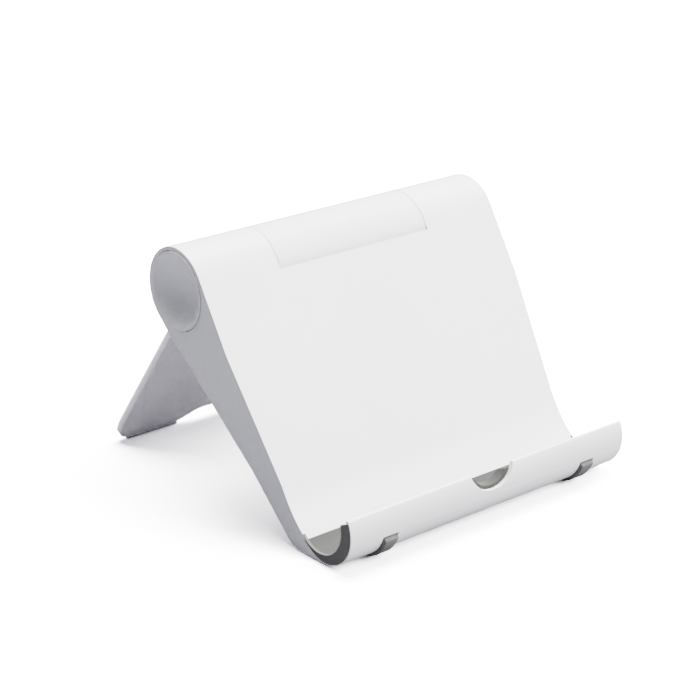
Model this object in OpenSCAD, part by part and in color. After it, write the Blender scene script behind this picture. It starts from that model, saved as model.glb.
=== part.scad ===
// Folding tablet stand: a wedge-shaped front panel with a forward hook, and a rear leg
// that swings from the barrel hinge at the top.
// Origin: centre of the footprint, on the resting plane. X runs along the barrel,
// the hook is towards -Y, the leg towards +Y, and Z is up.

/* [Stand] */
// Width of the front panel at the barrel
panel_width = 107.6; // [95:0.2:140]
// Width of the front panel at the hook
hook_width = 102; // [90:0.5:135]
// Height of the barrel axis above the resting plane
axis_height = 61; // [50:1:75]
// Distance of the barrel axis behind the middle of the footprint
axis_setback = 13.15; // [8:0.05:18]
// Radius of the barrel
barrel_radius = 12.5; // [10:0.5:15]
// Wall of the mouldings
wall = 2.2; // [1.6:0.1:3]

/* [Front panel] */
// Lean of the panel's front face from the vertical
face_lean = 31.5; // [28:0.5:38]
// Lean of the panel's back edge from the vertical
back_lean = 46.8; // [44:0.1:54]
// Radius of the sweep from the face into the hook
sweep_radius = 35; // [25:1:80]
// Distance of the hook's centre in front of the barrel axis
hook_reach = 59.4; // [50:0.1:66]
// Outer radius of the hook
hook_radius = 10.8; // [9:0.1:12]
// Wall of the hook
hook_wall = 1.2; // [1:0.1:2.4]
// Angle at which the lip of the hook ends, from the +Y direction
lip_angle = 155; // [135:1:170]
// Gap between the moulding and the resting plane
sole_gap = 0.6; // [0.3:0.1:1.5]
// Width of the cable notch in the lip
notch_width = 16; // [12:1:24]
// Depth of the cable notch in the lip
notch_depth = 5.8; // [4:0.2:8]

/* [Hook liner and feet] */
// Radius of the liner's trough
trough_radius = 8.9; // [8:0.1:9.4]
// Distance of the trough's centre behind the hook's centre
trough_shift = 2.2; // [1.6:0.1:2.4]
// Thickness of the liner at its edge on the panel's side
liner_edge = 0.8; // [0.6:0.1:1.2]
// Distance of a foot slot from the end of the hook
slot_inset = 11.4; // [9:0.1:16]
// Width of a foot slot
slot_width = 5.4; // [5:0.1:10]
// Extra rise of a foot, cut off flat at the resting plane
foot_rise = 0.4; // [0.2:0.1:0.8]

/* [Rear leg] */
// Length of the middle knuckle
knuckle_length = 54; // [40:1:64]
// Distance from the barrel axis to the end of the leg
leg_length = 73; // [66:0.5:76]
// Half the width of the leg at its feet
leg_half_width = 46.5; // [40:0.5:48]
// Half the width of the leg at its shoulders, under the barrel
shoulder_half_width = 35; // [30:1:42]
// Thickness of the leg's plate
plate = 2.2; // [1.8:0.1:3]
// Width of one silicone pad on the leg
pad_width = 18; // [12:1:22]

/* [Hinge] */
// Radius of the axle
axle_radius = 3; // [2:0.5:4]
// Radial clearance of the leg's bore on the axle
running_gap = 0.05; // [0.02:0.01:0.1]
// Gap between the turning barrel and the panel
knuckle_gap = 0.35; // [0.3:0.05:0.8]
// Angle between folded flat and fully open
swing = 165; // [120:5:180]

/* [Hidden] */
$fn = 96;

white = [0.93, 0.93, 0.94];
grey = [0.55, 0.55, 0.55];
pale = [0.75, 0.75, 0.77];
steel = [0.72, 0.73, 0.75];
resin = [0.85, 0.84, 0.80];

half_panel = panel_width / 2;
half_hook = hook_width / 2;
half_knuckle = knuckle_length / 2;
floor_z = sole_gap - axis_height;
hook_inner = hook_radius - hook_wall;
hook_z = floor_z + hook_radius;
hook_centre = [-hook_reach, hook_z];
trough_centre = hook_centre + [trough_shift, 0.3];
heel_radius = 6;
shoulder_drop = 10;
far = 60;

// Directions in the side view: n points out of a face, d runs down along it
face_n = [-cos(face_lean), sin(face_lean)];
face_d = [-sin(face_lean), -cos(face_lean)];
back_n = [cos(back_lean), -sin(back_lean)];
flush = 0.03;
face_top = (barrel_radius - flush) * face_n;
back_top = (barrel_radius - flush) * back_n;

// Centre of the sweep: in front of the face and internally tangent to the trough
sweep_start = face_top + sweep_radius * face_n - trough_centre;
sweep_b = sweep_start * face_d;
sweep_c = sweep_start * sweep_start - pow(sweep_radius - trough_radius, 2);
sweep_run = -sweep_b - sqrt(sweep_b * sweep_b - sweep_c);
sweep_centre = face_top + sweep_radius * face_n + sweep_run * face_d;
sweep_top = face_top + sweep_run * face_d;
join_d = (trough_centre - sweep_centre) / norm(trough_centre - sweep_centre);
join_point = trough_centre + trough_radius * join_d;
join_angle = atan2(join_d[1], join_d[0]);

// Centre of the rounded heel: inside the back edge and above the floor
heel_z = floor_z + heel_radius;
heel_y = back_top[0] - (heel_radius + (heel_z - back_top[1]) * back_n[1]) / back_n[0];
heel = [heel_y, heel_z];

// Thickness of the flanges at the ends of the liner
flange = 0.8;

// Opening angle at rest: the pads' round ends touch the resting plane
pad_radius = 1.1;
pad_depth = 1.5;
leg_lift = 0.4;
pad_y = barrel_radius - pad_depth;
pad_reach = norm([pad_y, leg_length]);
rest_swing = back_lean - atan2(pad_y, leg_length) + acos((axis_height - pad_radius) / pad_reach);

// Hinge stations along X, on the right-hand side
pocket_depth = 14;
pocket_start = half_knuckle - pocket_depth;
pocket_radius = 9;
ring_face = half_knuckle - 3.1;
ring_radius = 8.6;
web_start = half_knuckle + knuckle_gap;
web_end = half_knuckle + 5;
key_radius = 9.4;
key_depth = 2.6;
lug_outer = 10;
lug_half_angle = 6;
slider_back = pocket_start + 5.1;
slider_front = ring_face - 0.9;

// Places a side view at the barrel axis and sweeps it along X
module along_x(x0, x1) {
    translate([x0, axis_setback, axis_height])
        rotate([90, 0, 90])
            linear_extrude(height = x1 - x0)
                children();
}

// Puts a solid built round the X axis at the barrel axis
module at_axis() {
    translate([0, axis_setback, axis_height])
        children();
}

// Round bar along X at the barrel axis
module x_bar(r, x0, x1) {
    translate([x0, 0, 0])
        rotate([0, 90, 0])
            cylinder(r = r, h = x1 - x0);
}

module mirrored(side) {
    if (side > 0) {
        children();
    } else {
        mirror([1, 0, 0])
            children();
    }
}

// Sector of the side view round a centre, from angle a0 to angle a1
module sector(centre, r, a0, a1) {
    steps = 6;
    fan = [for (i = [0:steps]) centre + r * [
        cos(a0 + (a1 - a0) * i / steps),
        sin(a0 + (a1 - a0) * i / steps)
    ]];
    polygon(concat([centre], fan));
}

module ring_2d(centre, r_out, r_in) {
    translate(centre)
        difference() {
            circle(r = r_out);
            circle(r = r_in);
        }
}

// ---- Front panel ----

// Front view of the panel, inset from its sides: upright at the barrel and the hook
module front_block(inset) {
    barrel_foot = axis_height - barrel_radius;
    hook_top = 17;
    top = axis_height + barrel_radius + 1;
    wide = half_panel - inset;
    narrow = half_hook - inset;
    rotate([90, 0, 0])
        linear_extrude(height = 4 * far, center = true)
            polygon([
                [-wide, top],
                [-wide, barrel_foot],
                [-narrow, hook_top],
                [-narrow, -1],
                [narrow, -1],
                [narrow, hook_top],
                [wide, barrel_foot],
                [wide, top]
            ]);
}

module hook_2d() {
    lip_mid = hook_radius - hook_wall / 2;
    difference() {
        ring_2d(hook_centre, hook_radius, hook_inner);
        sector(hook_centre, far, join_angle - 12, lip_angle);
    }
    translate(hook_centre + lip_mid * [cos(lip_angle), sin(lip_angle)])
        circle(r = hook_wall / 2);
}

// Bed of the trough: the hook's inside and a thin layer towards the panel
module bed_2d() {
    translate(hook_centre)
        circle(r = hook_inner);
    intersection() {
        ring_2d(trough_centre, trough_radius + liner_edge, trough_radius - 0.5);
        sector(trough_centre, far, 250, join_angle + 360);
    }
}

// Side view of the liner
module liner_2d() {
    difference() {
        bed_2d();
        translate(trough_centre)
            circle(r = trough_radius);
        sector(hook_centre, far, join_angle + 20, lip_angle + 6);
    }
}

// Side view of the flange at each end of the liner, which covers the hook's edge
module flange_2d() {
    skin = 0.3;
    difference() {
        translate(hook_centre)
            circle(r = hook_radius - skin);
        translate(trough_centre)
            circle(r = trough_radius);
        sector(hook_centre, far, join_angle + 20, lip_angle + 2);
    }
}

module wedge_2d() {
    difference() {
        union() {
            polygon([
                face_top,
                sweep_top,
                join_point,
                [-hook_reach, floor_z],
                [heel_y, floor_z],
                heel + heel_radius * back_n,
                back_top
            ]);
            translate(heel)
                circle(r = heel_radius);
        }
        translate(sweep_centre)
            circle(r = sweep_radius);
        translate(trough_centre)
            circle(r = trough_radius);
    }
}

// Side view of the panel, before it is hollowed
module panel_2d() {
    circle(r = barrel_radius);
    difference() {
        union() {
            wedge_2d();
            hook_2d();
        }
        bed_2d();
    }
}

// Hollow behind the face, open at the back; drawn with the back edge upright
module hollow_2d() {
    wedge = back_lean - face_lean;
    top_y = -barrel_radius / cos(wedge) + wall + 0.3;
    end_y = barrel_radius - 2.7;
    end_v = -leg_length - 1.8;
    rotate(-back_lean)
        difference() {
            polygon([
                [barrel_radius + 4, -2],
                [top_y, -2],
                [top_y + 2 * tan(wedge), -8],
                [end_y, end_v],
                [end_y, end_v - 8],
                [barrel_radius + 4, end_v - 8]
            ]);
            circle(r = barrel_radius + 0.25);
        }
}

// Space round the hook in one foot's slot, from radius r0 to r1 and above height z0
module foot_slot(side, r0, r1, a0, a1, x_gap, z0) {
    x_out = half_hook - slot_inset - x_gap;
    x_in = half_hook - slot_inset - slot_width + x_gap;
    mirrored(side)
        along_x(x_in, x_out)
            intersection() {
                ring_2d(hook_centre, r1, r0);
                sector(hook_centre, far, a0, a1);
                translate([-2 * far, z0 - axis_height])
                    square([4 * far, far]);
            }
}

module lip_notch(width, depth, y0, y1, top_z) {
    r = (width * width / 4 + depth * depth) / (2 * depth);
    translate([0, y0, top_z - depth + r])
        rotate([-90, 0, 0])
            cylinder(r = r, h = y1 - y0);
}

lip_top_z = axis_height + hook_z + (hook_radius - hook_wall / 2) * sin(lip_angle) + hook_wall / 2;
lip_front_y = axis_setback - hook_reach - hook_radius - 2;
lip_back_y = axis_setback - hook_reach - 2;

module knuckle_bores() {
    cap_seat = 11.45;
    tube_bore = 10.3;
    at_axis()
        mirrored(1) {
            x_bar(tube_bore, web_end, half_panel + 1);
            x_bar(cap_seat, half_panel - 4, half_panel + 1);
            x_bar(axle_radius, web_start - 1, web_end + 1);
            rotate([0, 90, 0])
                translate([0, 0, web_start - 1])
                    cylinder(r = key_radius, h = key_depth + 1, $fn = 6);
        }
}

module front_panel() {
    color(white)
        difference() {
            intersection() {
                along_x(-half_panel, half_panel)
                    panel_2d();
                front_block(0);
            }
            intersection() {
                along_x(-half_panel, half_panel)
                    hollow_2d();
                front_block(wall);
            }
            at_axis()
                x_bar(barrel_radius + knuckle_gap, -web_start, web_start);
            knuckle_bores();
            mirror([1, 0, 0])
                knuckle_bores();
            for (side = [-1, 1])
                foot_slot(side, hook_inner - 0.5, hook_radius + 2, 196, 287, 0, -2);
            for (side = [-1, 1])
                mirrored(side)
                    along_x(half_hook - flange, half_panel)
                        flange_2d();
            lip_notch(notch_width, notch_depth, lip_front_y, lip_back_y, lip_top_z);
        }
}

// ---- Liner and feet of the hook ----

module hook_liner() {
    end_gap = 0.3;
    color(grey)
        difference() {
            union() {
                along_x(end_gap - half_hook, half_hook - end_gap)
                    liner_2d();
                for (side = [-1, 1])
                    mirrored(side)
                        along_x(half_hook - flange, half_hook)
                            flange_2d();
            }
            lip_notch(notch_width - 3, notch_depth - 1.6, lip_front_y, lip_back_y + 4, lip_top_z - 0.6);
        }
}

module hook_foot(side) {
    color(grey)
        foot_slot(side, hook_inner, hook_radius + sole_gap + foot_rise, 199, 284, 0.25, 0);
}

// ---- Hinge parts fixed in the panel ----

module end_cap(side) {
    rim_radius = 11.2;
    dish_radius = 10.5;
    dish_depth = 4.6;
    sphere_radius = (dish_radius * dish_radius + dish_depth * dish_depth) / (2 * dish_depth);
    plug_radius = 10.2;
    plug_bore = 8.6;
    color(white)
        at_axis()
            mirrored(side)
                difference() {
                    union() {
                        x_bar(rim_radius, half_panel - 4, half_panel + 0.3);
                        x_bar(plug_radius, half_panel - 10, half_panel - 4);
                    }
                    translate([half_panel + 0.3 - dish_depth + sphere_radius, 0, 0])
                        sphere(r = sphere_radius);
                    x_bar(plug_bore, half_panel - 11, half_panel - 6.4);
                }
}

module hinge_axle() {
    tap_radius = 1.5;
    tap_depth = 12;
    color(steel)
        at_axis()
            difference() {
                x_bar(axle_radius, -web_end + 0.2, web_end - 0.2);
                x_bar(tap_radius, web_end - tap_depth, web_end);
                x_bar(tap_radius, -web_end, tap_depth - web_end);
            }
}

module axle_screw(side) {
    head_radius = 4.6;
    shank_radius = 1.45;
    color(steel)
        at_axis()
            mirrored(side)
                difference() {
                    union() {
                        x_bar(head_radius, web_end, web_end + 2.4);
                        x_bar(shank_radius, web_end - 9, web_end);
                    }
                    rotate([0, 90, 0])
                        translate([0, 0, web_end + 1])
                            cylinder(r = 1.7, h = 2, $fn = 6);
                }
}

module detent_ring(side) {
    dimples = 24;
    dimple_track = 6.4;
    color(resin)
        at_axis()
            mirrored(side)
                difference() {
                    union() {
                        x_bar(ring_radius, ring_face, web_start);
                        rotate([0, 90, 0])
                            translate([0, 0, web_start])
                                cylinder(r = key_radius - 0.1, h = key_depth - 0.1, $fn = 6);
                        stop_lug();
                    }
                    x_bar(axle_radius + 0.05, ring_face - 1, web_end);
                    for (i = [0:dimples - 1])
                        rotate([i * 360 / dimples, 0, 0])
                            translate([0, 0, dimple_track])
                                x_bar(0.7, ring_face - 0.5, ring_face + 0.6);
                }
}

// Lug on the ring that meets the ends of the groove in the leg's knuckle
module stop_lug() {
    translate([ring_face + 0.3, 0, 0])
        rotate([90, 0, 90])
            linear_extrude(height = half_knuckle - ring_face - 0.5)
                intersection() {
                    ring_2d([0, 0], lug_outer, ring_radius - 1);
                    sector([0, 0], far, 90 - lug_half_angle, 90 + lug_half_angle);
                }
}

module thrust_washer(side) {
    color(resin)
        at_axis()
            mirrored(side)
                difference() {
                    x_bar(barrel_radius - 0.4, half_knuckle + 0.05, web_start - 0.05);
                    x_bar(barrel_radius - 1.9, half_knuckle - 1, web_start + 1);
                }
}

// ---- Rear leg ----

// Turns a leg drawn hanging upright, outer face towards +Y, to its place at rest
module leg_frame() {
    at_axis()
        rotate([rest_swing - back_lean, 0, 0])
            children();
}

// Outline of the leg seen square to its plate, hanging down from the barrel axis
module leg_outline() {
    neck = half_knuckle - 0.3;
    shoulder = shoulder_half_width;
    foot = leg_half_width;
    corner = 3;
    end = leg_length - leg_lift;
    polygon([
        [-neck, 0],
        [-neck, -shoulder_drop],
        [-shoulder, -shoulder_drop],
        [-foot, 6 - end],
        [-foot, corner - end],
        [corner - foot, -end],
        [foot - corner, -end],
        [foot, corner - end],
        [foot, 6 - end],
        [shoulder, -shoulder_drop],
        [neck, -shoulder_drop],
        [neck, 0]
    ]);
    for (s = [-1, 1])
        translate([s * (foot - corner), corner - end])
            circle(r = corner);
}

// Arch between the feet, with an S-shaped side of two equal arcs
module leg_arch() {
    arch_top = 16;
    arch_base = 26;
    rise = 3;
    run = arch_base - arch_top;
    bend = (run * run + rise * rise) / (4 * rise);
    end = leg_length - leg_lift;
    translate([-arch_top, -end - 5])
        square([2 * arch_top, rise + 5]);
    difference() {
        translate([-arch_base, -end - 5])
            square([2 * arch_base, 5 + rise / 2]);
        for (s = [-1, 1])
            translate([s * (arch_base + 0.3), bend - end])
                circle(r = bend);
    }
    intersection() {
        translate([-arch_base, -end - 5])
            square([2 * arch_base, rise + 6]);
        for (s = [-1, 1])
            translate([s * arch_top, rise - bend - end])
                circle(r = bend - flush);
    }
}

module plate_block(y0, y1) {
    rotate([90, 0, 0])
        translate([0, 0, -y1])
            linear_extrude(height = y1 - y0)
                difference() {
                    leg_outline();
                    leg_arch();
                }
}

// Gussets from the knuckle down the inner face of the plate
module gussets() {
    rib = 1.8;
    for (x = [-22, -8, 8, 22])
        side_sweep(x - rib / 2, x + rib / 2)
            polygon([
                [barrel_radius - 1, -4],
                [1, -4],
                [0, -13],
                [barrel_radius - plate - 0.5, -38],
                [barrel_radius - 1, -38]
            ]);
}

module side_sweep(x0, x1) {
    translate([x0, 0, 0])
        rotate([90, 0, 90])
            linear_extrude(height = x1 - x0)
                children();
}

// Groove for the stop lug: as long as the swing, in the frame of the hanging leg
module lug_groove() {
    spare = 0.4;
    at_rest = 90 + back_lean - rest_swing;
    open_left = swing - rest_swing;
    translate([ring_face - 0.3, 0, 0])
        rotate([90, 0, 90])
            linear_extrude(height = 10)
                difference() {
                    intersection() {
                        circle(r = lug_outer + 0.3);
                        groove_fan(at_rest - open_left - lug_half_angle - spare,
                            at_rest + rest_swing + lug_half_angle + spare);
                    }
                    circle(r = pocket_radius - 1);
                }
}

module groove_fan(a0, a1) {
    sector([0, 0], far, a0, (a0 + a1) / 2);
    sector([0, 0], far, (a0 + a1) / 2, a1);
}

// Three keys that stand out from the round parts, from radius r0 to r1
module slider_keys(r0, r1, w, x0, x1) {
    for (i = [0:2])
        rotate([i * 120 + 180, 0, 0])
            translate([x0, -w / 2, r0])
                cube([x1 - x0, w, r1 - r0]);
}

module rear_leg() {
    key_w = 2.6;
    color(white)
        leg_frame()
            difference() {
                union() {
                    x_bar(barrel_radius, -half_knuckle, half_knuckle);
                    intersection() {
                        plate_block(barrel_radius - plate, barrel_radius - flush);
                        side_sweep(-far, far)
                            plate_side_2d();
                    }
                    gussets();
                }
                x_bar(axle_radius + running_gap, -half_knuckle - 1, half_knuckle + 1);
                for (side = [-1, 1])
                    mirrored(side) {
                        x_bar(pocket_radius, pocket_start, half_knuckle + 1);
                        slider_keys(pocket_radius - 1, 10.2, key_w, pocket_start + 1, ring_face);
                        lug_groove();
                    }
            }
}

// Side view of the plate, flush with the panel's back plane when folded
module plate_side_2d() {
    polygon([
        [barrel_radius + 1, 0],
        [barrel_radius + 1, -leg_length],
        [barrel_radius - plate - 1, -leg_length],
        [barrel_radius - plate - 1, 0]
    ]);
}

module leg_pad(side) {
    x_out = leg_half_width - 3.5;
    pad_end = leg_length - leg_lift;
    color(pale)
        leg_frame()
            mirrored(side)
                side_sweep(x_out - pad_width, x_out)
                    intersection() {
                        translate([pad_y, -leg_length])
                            circle(r = pad_radius);
                        translate([pad_y - pad_radius, -2 * leg_length])
                            square([2 * pad_radius, 2 * leg_length - pad_end]);
                    }
}

// ---- Hinge parts that turn with the leg ----

module detent_slider(side) {
    bumps = 4;
    bump_track = 6.4;
    color(resin)
        leg_frame()
            mirrored(side)
                difference() {
                    union() {
                        x_bar(pocket_radius - 0.1, slider_back, slider_front);
                        slider_keys(pocket_radius - 2, 10.05, 2.4, slider_back + 0.3, slider_front - 0.3);
                        for (i = [0:bumps - 1])
                            rotate([i * 360 / bumps, 0, 0])
                                translate([0, 0, bump_track])
                                    x_bar(0.6, slider_front - 0.5, slider_front + 0.7);
                    }
                    x_bar(axle_radius + 0.3, slider_back - 1, slider_front + 2);
                }
}

module spring_washers(side) {
    count = 4;
    rise = 0.45;
    gauge = 0.7;
    pitch = 1.2;
    r_in = axle_radius + 0.4;
    r_out = pocket_radius - 0.6;
    color(steel)
        leg_frame()
            mirrored(side)
                translate([pocket_start, 0, 0])
                    rotate([0, 90, 0])
                        for (i = [0:count - 1])
                            translate([0, 0, 0.1 + i * pitch])
                                rotate_extrude()
                                    polygon(
                                        i % 2 == 0
                                        ? [[r_in, 0], [r_out, rise], [r_out, rise + gauge], [r_in, gauge]]
                                        : [[r_in, rise], [r_out, 0], [r_out, gauge], [r_in, rise + gauge]]
                                    );
}

front_panel();
hook_liner();
hook_foot(-1);  // hook_foot_left
hook_foot(1);  // hook_foot_right
end_cap(-1);  // end_cap_left
end_cap(1);  // end_cap_right
hinge_axle();
axle_screw(-1);  // axle_screw_left
axle_screw(1);  // axle_screw_right
detent_ring(-1);  // detent_ring_left
detent_ring(1);  // detent_ring_right
thrust_washer(-1);  // thrust_washer_left
thrust_washer(1);  // thrust_washer_right
rear_leg();
leg_pad(-1);  // leg_pad_left
leg_pad(1);  // leg_pad_right
detent_slider(-1);  // detent_slider_left
detent_slider(1);  // detent_slider_right
spring_washers(-1);  // spring_washers_left
spring_washers(1);  // spring_washers_right
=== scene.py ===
"""Folding tablet stand: studio scene with bevelled mouldings, silicone parts and hinge hardware."""

import logging
import math
from dataclasses import dataclass
from enum import Enum
from typing import Callable, Sequence

import bmesh
import bpy
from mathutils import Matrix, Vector

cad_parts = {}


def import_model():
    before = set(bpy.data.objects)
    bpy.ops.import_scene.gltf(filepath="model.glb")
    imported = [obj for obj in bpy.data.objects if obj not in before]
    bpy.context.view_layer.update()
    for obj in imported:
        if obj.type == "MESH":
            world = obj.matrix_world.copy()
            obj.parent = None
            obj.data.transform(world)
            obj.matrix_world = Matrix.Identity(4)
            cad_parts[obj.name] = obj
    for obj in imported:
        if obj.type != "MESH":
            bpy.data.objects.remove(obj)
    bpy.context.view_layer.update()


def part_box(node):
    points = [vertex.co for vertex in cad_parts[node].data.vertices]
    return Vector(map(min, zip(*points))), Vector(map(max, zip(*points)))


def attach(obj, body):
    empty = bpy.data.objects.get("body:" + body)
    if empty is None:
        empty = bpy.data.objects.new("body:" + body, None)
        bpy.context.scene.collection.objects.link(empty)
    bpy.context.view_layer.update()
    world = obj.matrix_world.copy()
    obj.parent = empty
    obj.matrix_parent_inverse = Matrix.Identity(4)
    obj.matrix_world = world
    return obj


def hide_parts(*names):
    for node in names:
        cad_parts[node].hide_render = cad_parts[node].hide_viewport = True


LOG = logging.getLogger("tablet_stand")
MM = 0.001
WELD = 2e-6  # points nearer than this, in metres, become one
FLAT_ANGLE = math.radians(0.4)  # faces this near to flat are merged
EDGE_ANGLE = math.radians(28)  # only edges sharper than this are rolled
CREASE_DEGREES = 32.0  # shading breaks at edges sharper than this


class Body(Enum):
    """The two bodies that the hinge joins."""

    PANEL = "panel"
    LEG = "leg"


class Side(Enum):
    """The two ends of the barrel, as seen from the front."""

    LEFT = "left"
    RIGHT = "right"


class Slot(Enum):
    """The record's material slots."""

    PANEL = "panel_plastic"
    LEG = "leg_plastic"
    CAP = "cap_plastic"
    SILICONE = "silicone"
    PALE_SILICONE = "pale_silicone"
    STEEL = "steel"
    SPRING_STEEL = "spring_steel"
    ACETAL = "acetal"


# ---------------------------------------------------------------- materials


class NodeBench:
    """A material's node tree with short calls for making and joining nodes."""

    def __init__(self, name: str) -> None:
        """Starts an empty node material.

        Args:
            name: The material's name.
        """
        self.material = bpy.data.materials.new(name)
        self.material.use_nodes = True
        self.tree = self.material.node_tree
        self.tree.nodes.clear()
        self.output = self.add("ShaderNodeOutputMaterial")

    def add(self, kind: str, **settings: object) -> bpy.types.Node:
        """Makes a node and sets its plain properties.

        Args:
            kind: Blender's node type.
            **settings: Property values of the node.

        Returns:
            The new node.
        """
        node = self.tree.nodes.new(kind)
        for key, value in settings.items():
            setattr(node, key, value)
        return node

    def link(self, start: bpy.types.NodeSocket, end: bpy.types.NodeSocket) -> None:
        """Joins an output socket to an input socket.

        Args:
            start: The output socket.
            end: The input socket.
        """
        self.tree.links.new(start, end)

    def coordinates(self) -> bpy.types.NodeSocket:
        """Returns the object coordinates, in metres."""
        return self.add("ShaderNodeTexCoord").outputs["Object"]

    def noise(self, where: bpy.types.NodeSocket, scale: float, detail: float = 3.0,
              roughness: float = 0.5) -> bpy.types.NodeSocket:
        """Makes a noise texture.

        Args:
            where: The coordinates it reads.
            scale: Its scale, in cells per metre.
            detail: Its octaves.
            roughness: How strong the fine octaves are.

        Returns:
            The noise value's socket.
        """
        node = self.add("ShaderNodeTexNoise")
        node.inputs["Scale"].default_value = scale
        node.inputs["Detail"].default_value = detail
        node.inputs["Roughness"].default_value = roughness
        self.link(where, node.inputs["Vector"])
        return node.outputs["Fac"]

    def ramp(self, value: bpy.types.NodeSocket,
             stops: Sequence[tuple[float, tuple[float, float, float]]]) -> bpy.types.NodeSocket:
        """Maps a value to a colour.

        Args:
            value: The value's socket.
            stops: Positions and linear colours.

        Returns:
            The colour's socket.
        """
        node = self.add("ShaderNodeValToRGB")
        while len(node.color_ramp.elements) < len(stops):
            node.color_ramp.elements.new(0.5)
        for element, (position, colour) in zip(node.color_ramp.elements, stops):
            element.position = position
            element.color = (*colour, 1.0)
        self.link(value, node.inputs["Fac"])
        return node.outputs["Color"]

    def span(self, value: bpy.types.NodeSocket, low: float, high: float) -> bpy.types.NodeSocket:
        """Maps a value from 0..1 to low..high.

        Args:
            value: The value's socket.
            low: What 0 becomes.
            high: What 1 becomes.

        Returns:
            The mapped value's socket.
        """
        node = self.add("ShaderNodeMapRange")
        node.inputs["To Min"].default_value = low
        node.inputs["To Max"].default_value = high
        self.link(value, node.inputs["Value"])
        return node.outputs["Result"]

    def bump(self, height: bpy.types.NodeSocket, distance: float, strength: float,
             below: bpy.types.NodeSocket | None = None) -> bpy.types.NodeSocket:
        """Makes a bump from a height.

        Args:
            height: The height's socket.
            distance: The bump's depth, in metres.
            strength: How much of it shows.
            below: A normal to build on.

        Returns:
            The normal's socket.
        """
        node = self.add("ShaderNodeBump")
        node.inputs["Distance"].default_value = distance
        node.inputs["Strength"].default_value = strength
        self.link(height, node.inputs["Height"])
        if below is not None:
            self.link(below, node.inputs["Normal"])
        return node.outputs["Normal"]


@dataclass(frozen=True)
class MouldedPlastic:
    """Satin injection-moulded plastic with a fine spark-eroded grain.

    Attributes:
        name: The material's name.
        colour: Its linear colour.
        shade: The slightly deeper tone of its cloudy patches.
        roughness: Mean roughness.
        grain: Scale of the grain, in cells per metre.
        grain_depth: Height of the grain, in metres.
        depth: How far light goes into thin walls, in metres; none at 0.
        cloud_scale: Scale of the cloudy patches.
        gloss_scale: Scale of the changes in roughness.
        gloss_spread: How far the roughness strays either way.
        flow_scale: Scale of the faint moulding waves.
        flow_depth: Height of those waves, in metres.
        grain_show: How much of the grain shows.
        flow_show: How much of the waves shows.
        density: Index of refraction.
        shine: Strength of its reflection.
        tint: How far each colour goes into thin walls, as a share of depth.
    """

    name: str
    colour: tuple[float, float, float]
    shade: tuple[float, float, float]
    roughness: float = 0.42
    grain: float = 2600.0
    grain_depth: float = 0.00003
    depth: float = 0.0
    cloud_scale: float = 28.0
    gloss_scale: float = 90.0
    gloss_spread: float = 0.05
    flow_scale: float = 45.0
    flow_depth: float = 0.00015
    grain_show: float = 0.25
    flow_show: float = 0.12
    density: float = 1.5
    shine: float = 0.42
    tint: tuple[float, float, float] = (1.0, 0.96, 1.0)

    def build(self) -> bpy.types.Material:
        """Builds the finish's nodes.

        Returns:
            The finished material.
        """
        bench = NodeBench(self.name)
        where = bench.coordinates()
        shader = bench.add("ShaderNodeBsdfPrincipled")
        cloud = bench.noise(where, self.cloud_scale, 4.0)
        bench.link(bench.ramp(cloud, [(0.3, self.shade), (0.7, self.colour)]),
                   shader.inputs["Base Color"])
        gloss = bench.noise(where, self.gloss_scale, 3.0)
        bench.link(bench.span(gloss, self.roughness - self.gloss_spread,
                              self.roughness + self.gloss_spread), shader.inputs["Roughness"])
        grain = bench.noise(where, self.grain, 2.0, 0.6)
        flow = bench.noise(where, self.flow_scale, 1.0)
        soft = bench.bump(flow, self.flow_depth, self.flow_show)
        bench.link(bench.bump(grain, self.grain_depth, self.grain_show, soft),
                   shader.inputs["Normal"])
        shader.inputs["IOR"].default_value = self.density
        shader.inputs["Specular IOR Level"].default_value = self.shine
        if self.depth > 0:
            shader.inputs["Subsurface Weight"].default_value = 1.0
            shader.inputs["Subsurface Scale"].default_value = self.depth
            shader.inputs["Subsurface Radius"].default_value = self.tint
        bench.link(shader.outputs["BSDF"], bench.output.inputs["Surface"])
        return bench.material


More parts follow.
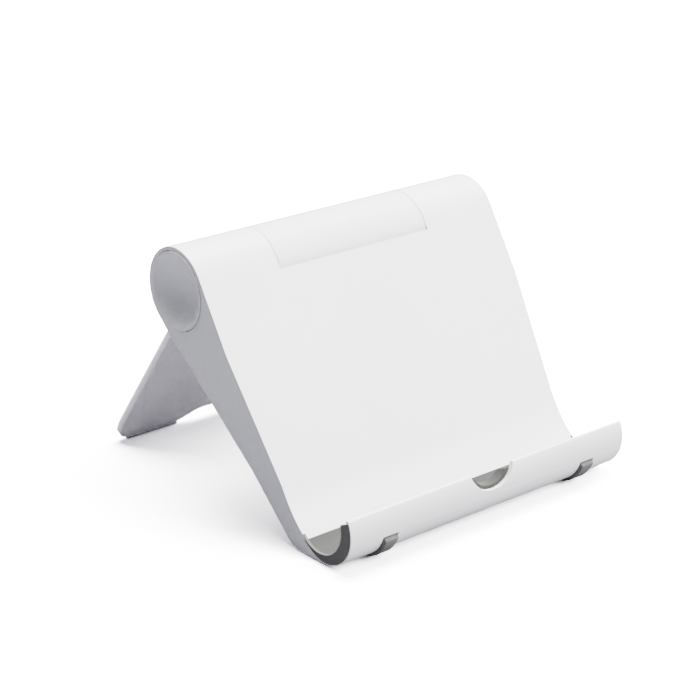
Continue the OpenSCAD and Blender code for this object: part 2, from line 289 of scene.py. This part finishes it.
@dataclass(frozen=True)
class Silicone:
    """Matt grey silicone with fine dusty mottling.

    Attributes:
        name: The material's name.
        colour: Its linear colour.
        dust: Colour of the mottling.
        roughness: Mean roughness.
        gloss: Strength of its reflection.
        painted_light_end_colour: Paler colour painted on the flanges at the ends, if it has them:
            painted light on their shaded end faces.
        painted_light_from: How far out the flanges, and the painted light on them, begin.
        painted_light_blend: Over what distance the painted light comes in.
        mottle_scale: Scale of the mottling, in cells per metre.
        roughness_spread: How far the roughness strays either way.
        fine_scale: Scale of the fine surface grain.
        fine_depth: Height of that grain, in metres.
        fine_show: How much of it shows.
        density: Index of refraction.
    """

    name: str
    colour: tuple[float, float, float]
    dust: tuple[float, float, float]
    roughness: float = 0.68
    gloss: float = 0.3
    painted_light_end_colour: tuple[float, float, float] | None = None
    painted_light_from: float = 50.1 * MM
    painted_light_blend: float = 0.3 * MM
    mottle_scale: float = 320.0
    roughness_spread: float = 0.08
    fine_scale: float = 5200.0
    fine_depth: float = 0.00004
    fine_show: float = 0.35
    density: float = 1.41

    def build(self) -> bpy.types.Material:
        """Builds the finish's nodes.

        Returns:
            The finished material.
        """
        bench = NodeBench(self.name)
        where = bench.coordinates()
        shader = bench.add("ShaderNodeBsdfPrincipled")
        mottle = bench.noise(where, self.mottle_scale, 5.0, 0.6)
        tone = bench.ramp(mottle, [(0.35, self.colour), (0.75, self.dust)])
        # painted light: the end flanges get a paler tone that lifts their shaded end faces
        if self.painted_light_end_colour:
            tone = self.paint_light_on_ends(bench, where, tone)
        bench.link(tone, shader.inputs["Base Color"])
        bench.link(bench.span(mottle, self.roughness - self.roughness_spread,
                              self.roughness + self.roughness_spread), shader.inputs["Roughness"])
        fine = bench.noise(where, self.fine_scale, 2.0)
        bench.link(bench.bump(fine, self.fine_depth, self.fine_show), shader.inputs["Normal"])
        shader.inputs["Specular IOR Level"].default_value = self.gloss
        shader.inputs["IOR"].default_value = self.density
        bench.link(shader.outputs["BSDF"], bench.output.inputs["Surface"])
        return bench.material

    def paint_light_on_ends(self, bench: NodeBench, where: bpy.types.NodeSocket,
                   tone: bpy.types.NodeSocket) -> bpy.types.NodeSocket:
        """Paints light on the end flanges: turns the tone paler past the place where they begin, to
        lift their shaded end faces.

        Args:
            bench: The material's bench.
            where: Object coordinates.
            tone: The tone between the flanges.

        Returns:
            The mixed tone.
        """
        split = bench.add("ShaderNodeSeparateXYZ")
        bench.link(where, split.inputs["Vector"])
        out = bench.add("ShaderNodeMath", operation="ABSOLUTE")
        bench.link(split.outputs["X"], out.inputs[0])
        past = bench.add("ShaderNodeMapRange")
        past.inputs["From Min"].default_value = self.painted_light_from
        past.inputs["From Max"].default_value = self.painted_light_from + self.painted_light_blend
        bench.link(out.outputs[0], past.inputs["Value"])
        mix = bench.add("ShaderNodeMix", data_type="RGBA")
        colour_a, colour_b = (item for item in mix.inputs if item.type == "RGBA")
        bench.link(past.outputs["Result"], mix.inputs[0])
        bench.link(tone, colour_a)
        colour_b.default_value = (*self.painted_light_end_colour, 1.0)
        return next(item for item in mix.outputs if item.type == "RGBA")


@dataclass(frozen=True)
class TurnedSteel:
    """Steel with fine turning marks round the barrel's axis.

    Attributes:
        name: The material's name.
        colour: Its linear colour.
        roughness: Mean roughness.
        marks: Scale of the turning marks along the axis, in cells per metre.
        stretch: How much coarser the marks are across the axis.
        groove: The share of the colour left at the bottom of a mark.
        smoother: How far the roughness falls below the mean.
        rougher: How far it rises above it.
        mark_depth: Depth of the marks, in metres.
        mark_show: How much of them shows.
    """

    name: str
    colour: tuple[float, float, float]
    roughness: float = 0.32
    marks: float = 3000.0
    stretch: float = 0.04
    groove: float = 0.8
    smoother: float = 0.08
    rougher: float = 0.12
    mark_depth: float = 0.00002
    mark_show: float = 0.4

    def build(self) -> bpy.types.Material:
        """Builds the finish's nodes.

        Returns:
            The finished material.
        """
        bench = NodeBench(self.name)
        where = bench.coordinates()
        shader = bench.add("ShaderNodeBsdfPrincipled")
        squeeze = bench.add("ShaderNodeMapping")
        squeeze.inputs["Scale"].default_value = (1.0, self.stretch, self.stretch)
        bench.link(where, squeeze.inputs["Vector"])
        lines = bench.noise(squeeze.outputs["Vector"], self.marks, 3.0, 0.7)
        dark = tuple(channel * self.groove for channel in self.colour)
        bench.link(bench.ramp(lines, [(0.3, dark), (0.7, self.colour)]),
                   shader.inputs["Base Color"])
        bench.link(bench.span(lines, self.roughness - self.smoother,
                              self.roughness + self.rougher), shader.inputs["Roughness"])
        bench.link(bench.bump(lines, self.mark_depth, self.mark_show), shader.inputs["Normal"])
        shader.inputs["Metallic"].default_value = 1.0
        bench.link(shader.outputs["BSDF"], bench.output.inputs["Surface"])
        return bench.material


@dataclass(frozen=True)
class StudioFloor:
    """Seamless pale studio floor, bright to the eye and calmer in the light it throws back.

    Attributes:
        name: The material's name.
        seen: Its colour to the camera.
        thrown: Its colour to every other ray.
        glow: Strength of its light at the far edge, to the camera only.
        glow_from: How far out the glow begins, in metres.
        glow_to: Where the glow is full.
    """

    name: str = "studio_floor"
    seen: tuple[float, float, float] = (3.3, 3.3, 3.32)
    thrown: tuple[float, float, float] = (0.18, 0.18, 0.20)
    glow: float = 14.0
    glow_from: float = 0.45
    glow_to: float = 1.6

    def build(self) -> bpy.types.Material:
        """Builds the finish's nodes.

        Returns:
            The finished material.
        """
        bench = NodeBench(self.name)
        bright = bench.add("ShaderNodeBsdfDiffuse")
        bright.inputs["Color"].default_value = (*self.seen, 1.0)
        calm = bench.add("ShaderNodeBsdfDiffuse")
        calm.inputs["Color"].default_value = (*self.thrown, 1.0)
        mix = bench.add("ShaderNodeMixShader")
        bench.link(bench.add("ShaderNodeLightPath").outputs["Is Camera Ray"], mix.inputs["Fac"])
        bench.link(calm.outputs["BSDF"], mix.inputs[1])
        bench.link(self.far_glow(bench, bright.outputs["BSDF"]), mix.inputs[2])
        bench.link(mix.outputs["Shader"], bench.output.inputs["Surface"])
        return bench.material

    def far_glow(self, bench: NodeBench, near: bpy.types.NodeSocket) -> bpy.types.NodeSocket:
        """Keeps the sweep white out to its edge, past the reach of the lamps.

        Args:
            bench: The material's bench.
            near: The floor's shader near the stand.

        Returns:
            The shader of the whole floor.
        """
        reach = bench.add("ShaderNodeVectorMath", operation="LENGTH")
        bench.link(bench.coordinates(), reach.inputs[0])
        growth = bench.add("ShaderNodeMapRange", interpolation_type="SMOOTHSTEP")
        growth.inputs["From Min"].default_value = self.glow_from
        growth.inputs["From Max"].default_value = self.glow_to
        growth.inputs["To Max"].default_value = self.glow
        bench.link(reach.outputs["Value"], growth.inputs["Value"])
        light = bench.add("ShaderNodeEmission")
        bench.link(growth.outputs["Result"], light.inputs["Strength"])
        both = bench.add("ShaderNodeAddShader")
        bench.link(near, both.inputs[0])
        bench.link(light.outputs["Emission"], both.inputs[1])
        return both.outputs["Shader"]


# ---------------------------------------------------------------- mesh helpers


def link_mesh(name: str, mesh: bpy.types.Mesh) -> bpy.types.Object:
    """Puts a mesh into the scene as an object at the origin.

    Args:
        name: The object's name.
        mesh: Its mesh.

    Returns:
        The new object.
    """
    piece = bpy.data.objects.new(name, mesh)
    bpy.context.scene.collection.objects.link(piece)
    return piece


def baked(piece: bpy.types.Object) -> None:
    """Applies a piece's modifiers to its mesh and removes them.

    Args:
        piece: The object to finish.
    """
    graph = bpy.context.evaluated_depsgraph_get()
    graph.update()
    mesh = bpy.data.meshes.new_from_object(piece.evaluated_get(graph))
    old = piece.data
    piece.modifiers.clear()
    piece.data = mesh
    bpy.data.meshes.remove(old)


@dataclass
class Moulding:
    """A moulded piece made from a node's solid, with rolled edges.

    Attributes:
        node: The node it stands for.
        roll: Greatest radius of its edges, in metres; narrow faces hold it back.
        steps: Segments across a rolled edge.
        weigh: Gives an edge's share of the roll from its two ends.
    """

    node: str
    roll: float
    steps: int = 3
    weigh: Callable[[Vector, Vector], float] | None = None

    def make(self, name: str) -> bpy.types.Object:
        """Builds the piece.

        Args:
            name: Its name.

        Returns:
            The finished object, unmoved and with its modifiers applied.
        """
        mesh = bpy.data.objects[self.node].data.copy()
        mesh.name = name
        mesh.materials.clear()
        shape = bmesh.new()
        shape.from_mesh(mesh)
        bmesh.ops.remove_doubles(shape, verts=shape.verts, dist=WELD)
        bmesh.ops.dissolve_degenerate(shape, edges=shape.edges, dist=WELD)
        bmesh.ops.dissolve_limit(shape, angle_limit=FLAT_ANGLE, verts=shape.verts,
                                 edges=shape.edges, delimit=set())
        weights = shape.edges.layers.float.new("bevel_weight_edge")
        for edge in shape.edges:
            if len(edge.link_faces) != 2 or edge.calc_face_angle(0.0) < EDGE_ANGLE:
                continue
            start, end = (vertex.co for vertex in edge.verts)
            edge[weights] = self.weigh(start, end) if self.weigh else 1.0
        shape.to_mesh(mesh)
        shape.free()
        piece = link_mesh(name, mesh)
        bevel = piece.modifiers.new("roll", "BEVEL")
        bevel.limit_method = "WEIGHT"
        bevel.width = self.roll
        bevel.segments = self.steps
        bevel.use_clamp_overlap = True
        bevel.harden_normals = False
        bevel.miter_outer = "MITER_ARC"
        baked(piece)
        smooth(piece, CREASE_DEGREES)
        return piece


def smooth(piece: bpy.types.Object, degrees: float) -> None:
    """Shades a piece smooth, with its creases kept and its large faces flat.

    Args:
        piece: The object.
        degrees: The angle past which an edge is a crease.
    """
    piece.data.shade_smooth()
    piece.data.set_sharp_from_angle(angle=math.radians(degrees))
    weigh = piece.modifiers.new("weigh", "WEIGHTED_NORMAL")
    weigh.keep_sharp = True
    baked(piece)


def dress(piece: bpy.types.Object, finish: bpy.types.Material) -> None:
    """Gives a piece its one material.

    Args:
        piece: The object.
        finish: The material.
    """
    piece.data.materials.clear()
    piece.data.materials.append(finish)


def settle(piece: bpy.types.Object, body: Body, slot: Slot, *nodes: str) -> None:
    """Hands a finished piece to the frame.

    Args:
        piece: The object.
        body: The body it rides on.
        slot: The record's material slot; not used.
        *nodes: The nodes that it stands for.
    """
    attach(piece, body.value)
    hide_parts(*nodes)
    LOG.info("%s: %d faces on %s", piece.name, len(piece.data.polygons), body.value)


# ---------------------------------------------------------------- the stand


@dataclass
class FrontPanel:
    """The wedge-shaped front moulding with its hook and outer knuckles.

    Attributes:
        side_roll: Roll of the side edges.
        fine_roll: Roll of most other edges.
        seam_roll: Roll of the edges round the middle knuckle.
        hook_half: Half the width at the hook.
        barrel_half: Half the width at the barrel.
        hook_top: Height where the sides begin to spread.
        barrel_foot: Height where they are upright again.
        seam_half: Just past half the length of the middle knuckle.
        slack: How near the side a point has to be to count as on it.
        sole_share: Share of hook_top under which the side edges stay fine.
        seam_share: Share of barrel_foot over which the seam's edges lie.
    """

    side_roll: float = 1.1 * MM
    fine_roll: float = 0.4 * MM
    seam_roll: float = 0.1 * MM
    hook_half: float = 51.0 * MM
    barrel_half: float = 53.8 * MM
    hook_top: float = 17.0 * MM
    barrel_foot: float = 48.5 * MM
    seam_half: float = 27.6 * MM
    slack: float = 0.05 * MM
    sole_share: float = 0.3
    seam_share: float = 0.9

    def side_at(self, height: float) -> float:
        """Works out how far out the panel's sides are.

        Args:
            height: Height above the floor.

        Returns:
            The distance from the middle plane.
        """
        share = (height - self.hook_top) / (self.barrel_foot - self.hook_top)
        share = min(1.0, max(0.0, share))
        return self.hook_half + share * (self.barrel_half - self.hook_half)

    def weigh(self, start: Vector, end: Vector) -> float:
        """Rolls the outer side edges fully, the hook's less and every other edge finely.

        Args:
            start: One end of the edge.
            end: Its other end.

        Returns:
            The edge's share of side_roll.
        """
        low, high = sorted((start.z, end.z))
        on_side = all(abs(abs(point.x) - self.side_at(point.z)) < self.slack
                      for point in (start, end))
        if on_side and high > self.sole_share * self.hook_top:
            return 1.0 if low > self.hook_top else 0.5
        at_seam = max(abs(start.x), abs(end.x)) < self.seam_half
        if at_seam and low > self.seam_share * self.barrel_foot:
            return self.seam_roll / self.side_roll
        return self.fine_roll / self.side_roll

    def build(self, finish: bpy.types.Material) -> None:
        """Makes and dresses the panel.

        Args:
            finish: The panel's plastic.
        """
        panel = Moulding("front_panel", self.side_roll, 4, self.weigh).make("panel_shell")
        dress(panel, finish)
        settle(panel, Body.PANEL, Slot.PANEL, "front_panel")


@dataclass
class RearLeg:
    """The rear moulding that swings from the middle knuckle.

    Attributes:
        side_roll: Roll of the plate's outer edges.
        fine_roll: Roll of most other edges.
        seam_roll: Roll of the knuckle's rims.
        pad_roll: Roll of the pads.
        knuckle_half: Half the knuckle's length.
        shoulder_half: Past this the plate's outer edges lie.
        slack: How near a rim a point has to be to count as on it.
    """

    side_roll: float = 0.8 * MM
    fine_roll: float = 0.4 * MM
    seam_roll: float = 0.1 * MM
    pad_roll: float = 0.3 * MM
    knuckle_half: float = 27.0 * MM
    shoulder_half: float = 35.5 * MM
    slack: float = 0.05 * MM

    def weigh(self, start: Vector, end: Vector) -> float:
        """Rolls the plate's sides fully, the knuckle's rims least and every other edge finely.

        Args:
            start: One end of the edge.
            end: Its other end.

        Returns:
            The edge's share of side_roll.
        """
        places = (abs(start.x), abs(end.x))
        if min(places) > self.shoulder_half:
            return 1.0
        if all(abs(place - self.knuckle_half) < self.slack for place in places):
            return self.seam_roll / self.side_roll
        return self.fine_roll / self.side_roll

    def build(self, finish: bpy.types.Material, pads: bpy.types.Material) -> None:
        """Makes and dresses the leg and its two pads.

        Args:
            finish: The leg's plastic.
            pads: The pads' silicone.
        """
        leg = Moulding("rear_leg", self.side_roll, 4, self.weigh).make("leg_shell")
        dress(leg, finish)
        settle(leg, Body.LEG, Slot.LEG, "rear_leg")
        for side in Side:
            node = f"leg_pad_{side.value}"
            pad = Moulding(node, self.pad_roll, 2).make(f"leg_sole_{side.value}")
            dress(pad, pads)
            settle(pad, Body.LEG, Slot.PALE_SILICONE, node)


@dataclass
class HookRubber:
    """The silicone liner and the two feet of the hook.

    Attributes:
        liner_roll: Roll of the liner's edges.
        foot_roll: Roll of the feet's edges.
    """

    liner_roll: float = 0.45 * MM
    foot_roll: float = 0.8 * MM

    def build(self, lining_with_painted_light: bpy.types.Material, rubber: bpy.types.Material) -> None:
        """Makes and dresses the liner and feet.

        Args:
            lining_with_painted_light: The liner's silicone: the feet's grey, darkened as painted
                shade, with painted light on its end flanges.
            rubber: The feet's silicone.
        """
        liner = Moulding("hook_liner", self.liner_roll, 3).make("liner")
        dress(liner, lining_with_painted_light)
        settle(liner, Body.PANEL, Slot.SILICONE, "hook_liner")
        for side in Side:
            node = f"hook_foot_{side.value}"
            foot = Moulding(node, self.foot_roll, 3).make(f"foot_{side.value}")
            dress(foot, rubber)
            settle(foot, Body.PANEL, Slot.SILICONE, node)


@dataclass
class BarrelEnds:
    """The two dished caps in the ends of the barrel.

    Attributes:
        rim_roll: Roll of the caps' edges.
    """

    rim_roll: float = 0.34 * MM

    def build(self, finish: bpy.types.Material) -> None:
        """Makes and dresses the caps.

        Args:
            finish: The caps' plastic.
        """
        for side in Side:
            node = f"end_cap_{side.value}"
            cap = Moulding(node, self.rim_roll, 3).make(f"cap_{side.value}")
            dress(cap, finish)
            settle(cap, Body.PANEL, Slot.CAP, node)


def socket_id(tree: bpy.types.NodeTree, name: str) -> str:
    """Finds a node tree's input by its name.

    Args:
        tree: The tree.
        name: The input's name.

    Returns:
        The socket's identifier.
    """
    return next(item.identifier for item in tree.interface.items_tree
                if item.item_type == "SOCKET" and item.in_out == "INPUT" and item.name == name)


@dataclass
class WasherStack:
    """A stack of dished spring washers on the hinge axle, grown by geometry nodes.

    Attributes:
        count: Washers in the stack.
        bore: Radius of the hole.
        rim: Outer radius.
        rise: Height of the dish.
        gauge: Thickness of the sheet.
        pitch: Distance from washer to washer.
        start: Where the stack begins, out from the middle of the barrel.
        nick: Size of the edges' chamfers.
        turns: Facets round a washer.
        merge: How near two points have to be to become one.
        crease: The angle at which shading breaks, in degrees.
    """

    count: int = 4
    bore: float = 3.4 * MM
    rim: float = 8.4 * MM
    rise: float = 0.45 * MM
    gauge: float = 0.7 * MM
    pitch: float = 1.2 * MM
    start: float = 13.1 * MM
    nick: float = 0.08 * MM
    turns: int = 96
    merge: float = 1e-6
    crease: float = 30.0

    def section(self) -> bpy.types.Object:
        """Makes the washer's cross-section, a closed outline with the radius along X.

        Returns:
            The outline, its height along Z.
        """
        nick, top = self.nick, self.rise + self.gauge
        outline = [
            (self.bore, nick), (self.bore + nick, 0.0), (self.rim - nick, self.rise),
            (self.rim, self.rise + nick), (self.rim, top - nick), (self.rim - nick, top),
            (self.bore + nick, self.gauge), (self.bore, self.gauge - nick),
        ]
        mesh = bpy.data.meshes.new("washer_section")
        corners = len(outline)
        mesh.from_pydata([(r, 0.0, z) for r, z in outline],
                         [(k, (k + 1) % corners) for k in range(corners)], [])
        return link_mesh("washer_section", mesh)

    def tree(self, steel: bpy.types.Material) -> bpy.types.NodeTree:
        """Builds the node tree that turns the section into a stack along Z.

        Args:
            steel: The finish that it sets.

        Returns:
            The tree, with inputs Count, Pitch and Rise.
        """
        tree = bpy.data.node_groups.new("washer_stack", "GeometryNodeTree")
        face = tree.interface
        face.new_socket("Geometry", in_out="INPUT", socket_type="NodeSocketGeometry")
        for name, kind in (("Count", "NodeSocketInt"), ("Pitch", "NodeSocketFloat"),
                           ("Rise", "NodeSocketFloat")):
            face.new_socket(name, in_out="INPUT", socket_type=kind)
        face.new_socket("Geometry", in_out="OUTPUT", socket_type="NodeSocketGeometry")

        def add(kind: str, **settings: object) -> bpy.types.Node:
            """Makes a node and sets its plain properties."""
            node = tree.nodes.new(kind)
            for key, value in settings.items():
                setattr(node, key, value)
            return node

        start, end = add("NodeGroupInput"), add("NodeGroupOutput")
        join = tree.links.new
        # one washer: the section turned round Z
        spin = add("GeometryNodeCurvePrimitiveCircle")
        spin.inputs["Resolution"].default_value = self.turns
        spin.inputs["Radius"].default_value = self.bore
        profile = add("GeometryNodeMeshToCurve")
        join(start.outputs["Geometry"], profile.inputs["Mesh"])
        shift = add("GeometryNodeTransform")
        shift.inputs["Translation"].default_value = (-self.bore, 0.0, 0.0)
        join(profile.outputs["Curve"], shift.inputs["Geometry"])
        lay = add("GeometryNodeTransform")
        lay.inputs["Rotation"].default_value = (-math.pi / 2, 0.0, 0.0)
        join(shift.outputs["Geometry"], lay.inputs["Geometry"])
        sweep = add("GeometryNodeCurveToMesh")
        join(spin.outputs["Curve"], sweep.inputs["Curve"])
        join(lay.outputs["Geometry"], sweep.inputs["Profile Curve"])
        # the stack: every second washer is turned over
        row = add("GeometryNodeMeshLine", mode="OFFSET")
        join(start.outputs["Count"], row.inputs["Count"])
        offset = add("ShaderNodeCombineXYZ")
        join(start.outputs["Pitch"], offset.inputs["Z"])
        join(offset.outputs["Vector"], row.inputs["Offset"])
        index = add("GeometryNodeInputIndex")
        odd = add("ShaderNodeMath", operation="MODULO")
        odd.inputs[1].default_value = 2.0
        join(index.outputs["Index"], odd.inputs[0])
        flip = add("ShaderNodeMath", operation="MULTIPLY")
        flip.inputs[1].default_value = math.pi
        join(odd.outputs[0], flip.inputs[0])
        turn = add("ShaderNodeCombineXYZ")
        join(flip.outputs[0], turn.inputs["X"])
        lift = add("ShaderNodeMath", operation="MULTIPLY")
        join(odd.outputs[0], lift.inputs[0])
        join(start.outputs["Rise"], lift.inputs[1])
        raise_by = add("ShaderNodeCombineXYZ")
        join(lift.outputs[0], raise_by.inputs["Z"])
        place = add("GeometryNodeSetPosition")
        join(row.outputs["Mesh"], place.inputs["Geometry"])
        join(raise_by.outputs["Vector"], place.inputs["Offset"])
        spread = add("GeometryNodeInstanceOnPoints")
        join(place.outputs["Geometry"], spread.inputs["Points"])
        join(sweep.outputs["Mesh"], spread.inputs["Instance"])
        join(turn.outputs["Vector"], spread.inputs["Rotation"])
        solid = add("GeometryNodeRealizeInstances")
        join(spread.outputs["Instances"], solid.inputs["Geometry"])
        coat = add("GeometryNodeSetMaterial")
        coat.inputs["Material"].default_value = steel
        join(solid.outputs["Geometry"], coat.inputs["Geometry"])
        join(coat.outputs["Geometry"], end.inputs["Geometry"])
        return tree

    def build(self, side: Side, tree: bpy.types.NodeTree, axis: Vector) -> None:
        """Grows one stack, lays it on the axle and hands it to the frame.

        Args:
            side: The end of the barrel that it sits in.
            tree: The stack's node tree.
            axis: A point on the hinge axis.
        """
        stack = self.section()
        stack.name = f"springs_{side.value}"
        grow = stack.modifiers.new("grow", "NODES")
        grow.node_group = tree
        grow[socket_id(tree, "Count")] = self.count
        grow[socket_id(tree, "Pitch")] = self.pitch
        grow[socket_id(tree, "Rise")] = self.rise + self.gauge
        baked(stack)
        way = 1.0 if side is Side.RIGHT else -1.0
        shape = bmesh.new()
        shape.from_mesh(stack.data)
        for vertex in shape.verts:
            x, y, z = vertex.co
            vertex.co = (way * (self.start + z), axis.y + way * y, axis.z + x)
        bmesh.ops.remove_doubles(shape, verts=shape.verts, dist=self.merge)
        bmesh.ops.recalc_face_normals(shape, faces=shape.faces)
        shape.to_mesh(stack.data)
        shape.free()
        smooth(stack, self.crease)
        settle(stack, Body.LEG, Slot.SPRING_STEEL, f"spring_washers_{side.value}")


@dataclass
class HingeHardware:
    """The click hinge inside the barrel: axle, screws, rings, washers, sliders and springs.

    Attributes:
        metal_roll: Roll of the axle and screws.
        resin_roll: Roll of the toothed pieces.
        washer_roll: Roll of the thin thrust washers.
    """

    metal_roll: float = 0.25 * MM
    resin_roll: float = 0.2 * MM
    washer_roll: float = 0.07 * MM

    def build(self, steel: bpy.types.Material, sprung: bpy.types.Material,
              resin: bpy.types.Material) -> None:
        """Makes and dresses every hidden piece of the hinge.

        Args:
            steel: The axle's and screws' steel.
            sprung: The spring washers' steel.
            resin: The resin of the rings, thrust washers and sliders.
        """
        self.place("hinge_axle", "axle_pin", Body.PANEL, Slot.STEEL, steel, self.metal_roll)
        for side in Side:
            for node, name, body, slot, finish, roll in (
                ("axle_screw", "screw", Body.PANEL, Slot.STEEL, steel, self.metal_roll),
                ("detent_ring", "click_ring", Body.PANEL, Slot.ACETAL, resin, self.resin_roll),
                ("thrust_washer", "glide_ring", Body.PANEL, Slot.ACETAL, resin, self.washer_roll),
                ("detent_slider", "click_slider", Body.LEG, Slot.ACETAL, resin, self.resin_roll),
            ):
                self.place(f"{node}_{side.value}", f"{name}_{side.value}", body, slot, finish,
                           roll)
        springs = WasherStack()
        tree = springs.tree(sprung)
        low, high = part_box("hinge_axle")
        for side in Side:
            springs.build(side, tree, (low + high) / 2)

    def place(self, node: str, name: str, body: Body, slot: Slot, finish: bpy.types.Material,
              roll: float) -> None:
        """Makes and dresses one small piece.

        Args:
            node: The node it stands for.
            name: The piece's name.
            body: The body that carries it.
            slot: Its material slot.
            finish: Its material.
            roll: Roll of its edges.
        """
        piece = Moulding(node, roll, 2).make(name)
        dress(piece, finish)
        settle(piece, body, slot, node)


# ---------------------------------------------------------------- studio


@dataclass(frozen=True)
class Lamp:
    """A soft square light.

    Attributes:
        name: Its name.
        place: Where it hangs, in metres.
        target: What it points at.
        size: Its side, in metres.
        watts: Its power.
        colour: Its linear colour.
    """

    name: str
    place: tuple[float, float, float]
    target: tuple[float, float, float]
    size: float
    watts: float
    colour: tuple[float, float, float]

    def hang(self) -> None:
        """Puts the lamp into the scene."""
        data = bpy.data.lights.new(self.name, "AREA")
        data.shape = "SQUARE"
        data.size = self.size
        data.energy = self.watts
        data.color = self.colour
        lamp = bpy.data.objects.new(self.name, data)
        lamp.location = self.place
        aim = Vector(self.target) - Vector(self.place)
        lamp.rotation_mode = "QUATERNION"
        lamp.rotation_quaternion = aim.to_track_quat("-Z", "Y")
        bpy.context.scene.collection.objects.link(lamp)


@dataclass
class Studio:
    """Camera, lights and floor.

    Attributes:
        camera_place: Where the camera stands, in metres.
        camera_aim: The way that it looks.
        lens: Its focal length, in millimetres.
        sensor: The width of its sensor, in millimetres.
        nearest: The nearest distance that it sees.
        farthest: The farthest.
        floor_half: Half the floor's side.
        sky_colour: Linear colour of the even fill light.
        sky_strength: Its strength.
        backdrop_strength: Strength of the white that only the camera sees past the floor.
        lamps: The soft lights.
    """

    camera_place: tuple[float, float, float] = (-0.36402, -0.42550, 0.25083)
    camera_aim: tuple[float, float, float] = (0.60346, 0.71121, -0.36056)
    lens: float = 107.48
    sensor: float = 36.0
    nearest: float = 0.01
    farthest: float = 20.0
    floor_half: float = 6.0
    sky_colour: tuple[float, float, float] = (0.80, 0.81, 1.0)
    sky_strength: float = 0.18
    backdrop_strength: float = 14.0
    lamps: tuple[Lamp, ...] = (
        Lamp("overhead", (0.35, 0.25, 1.4), (0.0, 0.0, 0.0), 1.2, 120.0, (1.0, 1.0, 0.99)),
        Lamp("key", (0.8, -1.2, 1.0), (0.0, 0.0, 0.03), 0.9, 90.0, (1.0, 0.99, 0.98)),
        Lamp("side", (1.3, 0.1, 0.40), (0.0, 0.0, 0.0), 0.6, 90.0, (1.0, 1.0, 1.0)),
    )

    def camera(self) -> None:
        """Sets the camera up."""
        data = bpy.data.cameras.new("camera")
        data.lens = self.lens
        data.sensor_width = self.sensor
        data.clip_start = self.nearest
        data.clip_end = self.farthest
        eye = bpy.data.objects.new("camera", data)
        eye.location = self.camera_place
        eye.rotation_mode = "QUATERNION"
        eye.rotation_quaternion = Vector(self.camera_aim).to_track_quat("-Z", "Y")
        bpy.context.scene.collection.objects.link(eye)
        bpy.context.scene.camera = eye

    def floor(self) -> None:
        """Lays the pale floor."""
        shape = bmesh.new()
        bmesh.ops.create_grid(shape, x_segments=1, y_segments=1, size=self.floor_half)
        mesh = bpy.data.meshes.new("floor")
        shape.to_mesh(mesh)
        shape.free()
        ground = link_mesh("floor", mesh)
        dress(ground, StudioFloor().build())

    def sky(self) -> None:
        """Sets the even fill light, with the white sweep as its backdrop."""
        world = bpy.data.worlds.new("studio")
        bpy.context.scene.world = world
        world.use_nodes = True
        tree = world.node_tree
        fill = tree.nodes["Background"]
        fill.inputs["Color"].default_value = (*self.sky_colour, 1.0)
        fill.inputs["Strength"].default_value = self.sky_strength
        sweep = tree.nodes.new("ShaderNodeBackground")
        sweep.inputs["Strength"].default_value = self.backdrop_strength
        mix = tree.nodes.new("ShaderNodeMixShader")
        ray = tree.nodes.new("ShaderNodeLightPath")
        tree.links.new(ray.outputs["Is Camera Ray"], mix.inputs["Fac"])
        tree.links.new(fill.outputs["Background"], mix.inputs[1])
        tree.links.new(sweep.outputs["Background"], mix.inputs[2])
        tree.links.new(mix.outputs["Shader"], tree.nodes["World Output"].inputs["Surface"])

    def build(self) -> None:
        """Sets the whole studio up."""
        self.camera()
        self.floor()
        self.sky()
        for lamp in self.lamps:
            lamp.hang()


def main() -> None:
    """Builds the stand and the studio."""
    logging.basicConfig(level=logging.INFO, format="%(name)s %(message)s")
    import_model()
    Studio().build()
    white = MouldedPlastic("panel_white", (0.83, 0.83, 0.84), (0.80, 0.80, 0.815)).build()
    leg_white = MouldedPlastic("leg_white", (0.79, 0.785, 0.80), (0.76, 0.755, 0.77),
                               depth=2.0 * MM).build()
    cap_white = MouldedPlastic("cap_white", (0.80, 0.80, 0.82), (0.77, 0.77, 0.79), 0.26).build()
    # The liner's tone is the feet's grey silicone, darkened as painted shade for the inside of the
    # hook's trough. Its paler end colour is painted light on the shaded end faces of its flanges.
    lining_with_painted_light = Silicone("liner_silicone_painted_light", (0.050, 0.050, 0.047), (0.057, 0.057, 0.054), 0.75, 0.12,
                      (0.125, 0.125, 0.12)).build()
    rubber = Silicone("foot_silicone", (0.112, 0.112, 0.112), (0.135, 0.135, 0.132)).build()
    pale = Silicone("pale_silicone", (0.56, 0.55, 0.59), (0.64, 0.63, 0.67), 0.6).build()
    steel = TurnedSteel("turned_steel", (0.60, 0.61, 0.63)).build()
    sprung = TurnedSteel("spring_steel", (0.45, 0.45, 0.47), 0.38, 2200.0).build()
    resin = MouldedPlastic("acetal", (0.74, 0.73, 0.68), (0.70, 0.69, 0.64), 0.35).build()
    FrontPanel().build(white)
    RearLeg().build(leg_white, pale)
    HookRubber().build(lining_with_painted_light, rubber)
    BarrelEnds().build(cap_white)
    HingeHardware().build(steel, sprung, resin)


if __name__ == "__main__":
    main()
